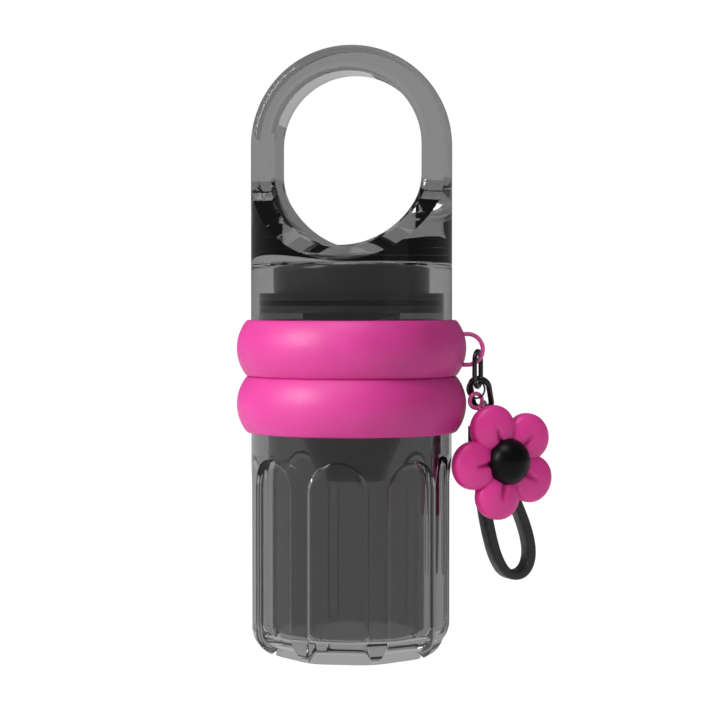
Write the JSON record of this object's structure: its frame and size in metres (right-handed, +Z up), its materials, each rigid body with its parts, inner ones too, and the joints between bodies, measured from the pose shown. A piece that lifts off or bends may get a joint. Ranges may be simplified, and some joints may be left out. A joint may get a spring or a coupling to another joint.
{
  "type": "pill splitter",
  "caption": "Pocket pill splitter: clear smoky cup with flutes, soft grip rings, cap with finger loop and hidden blade, and a flower charm with strap on a chain.",
  "frame": {"origin": "centre of the cup's flat base, on the surface that it stands on", "axes": "+Z up along the bottle's axis, X across the finger loop's width with the charm at +X, Y through the finger loop"},
  "size_m": [0.0653, 0.048, 0.1271],
  "materials": {
    "smoky_clear_plastic": "clear gloss, smoky grey",
    "dark_plastic": "satin",
    "dark_clear_plastic": "clear gloss, dark grey",
    "pink_silicone": "satin",
    "pink_enamel": "gloss",
    "pink_soft_plastic": "satin",
    "black_soft_plastic": "satin",
    "black_rubber": "matte",
    "pale_rubber": "matte",
    "blade_steel": "ground",
    "black_metal": "gloss black plating",
    "black_leather": "grained"
  },
  "bodies": {
    "cup": {"cup_shell": "smoky_clear_plastic", "cup_seal": "black_rubber"},
    "barrel": {"barrel_shell": "smoky_clear_plastic", "lower_grip_ring": "pink_silicone", "upper_grip_ring": "pink_silicone", "lanyard_eyelet": "pink_enamel", "funnel_chute": "dark_clear_plastic", "pill_seat": "dark_plastic", "seat_pad_front": "pale_rubber", "seat_pad_back": "pale_rubber"},
    "cap": {"cap_shell": "smoky_clear_plastic", "blade_carrier": "dark_plastic", "cap_seal": "black_rubber", "blade_clamp": "blade_steel", "blade": "blade_steel", "blade_screws": "blade_steel"},
    "upper_link": {"upper_link": "black_metal"},
    "lower_link": {"lower_link": "black_metal"},
    "jump_ring": {"jump_ring": "black_metal"},
    "charm": {"charm_eyelet": "pink_enamel", "flower_petals": "pink_soft_plastic", "flower_center": "black_soft_plastic", "flower_back": "pink_soft_plastic"},
    "strap": {"strap_ring": "black_metal", "strap_crimp": "black_metal", "crimp_rivet": "black_metal", "strap_loop": "black_leather"}
  },
  "joints": [
    {"name": "barrel_pull", "type": "slide", "parent": "cup", "child": "barrel", "axis": [0, 0, 1], "range_m": [0, 0.03]},
    {"name": "cap_pull", "type": "slide", "parent": "barrel", "child": "cap", "axis": [0, 0, 1], "range_m": [0, 0.025]},
    {"name": "chain_swing", "type": "hinge", "parent": "barrel", "child": "upper_link", "pos_m": [0.02644, 0, 0.06142], "axis": [0.9724, -0.2334, 0], "range_deg": [-15, 8]},
    {"name": "lower_link_swing", "type": "hinge", "parent": "upper_link", "child": "lower_link", "pos_m": [0.02672, 0.00117, 0.0564], "axis": [-0.2334, -0.9724, 0], "range_deg": [-1, 25]},
    {"name": "jump_ring_swing", "type": "hinge", "parent": "upper_link", "child": "jump_ring", "pos_m": [0.02616, -0.00117, 0.0564], "axis": [-0.2334, -0.9724, 0], "range_deg": [-1, 25]},
    {"name": "charm_swing", "type": "hinge", "parent": "jump_ring", "child": "charm", "pos_m": [0.02616, -0.00117, 0.0537], "axis": [0.5878, -0.809, 0], "range_deg": [-1, 30]},
    {"name": "strap_swing", "type": "hinge", "parent": "lower_link", "child": "strap", "pos_m": [0.02737, 0.00386, 0.05119], "axis": [0.9724, -0.2334, 0], "range_deg": [-1, 35]}
  ],
  "couplings": [
    {"joint": "jump_ring_swing", "follows": "lower_link_swing", "ratio": 1}
  ]
}
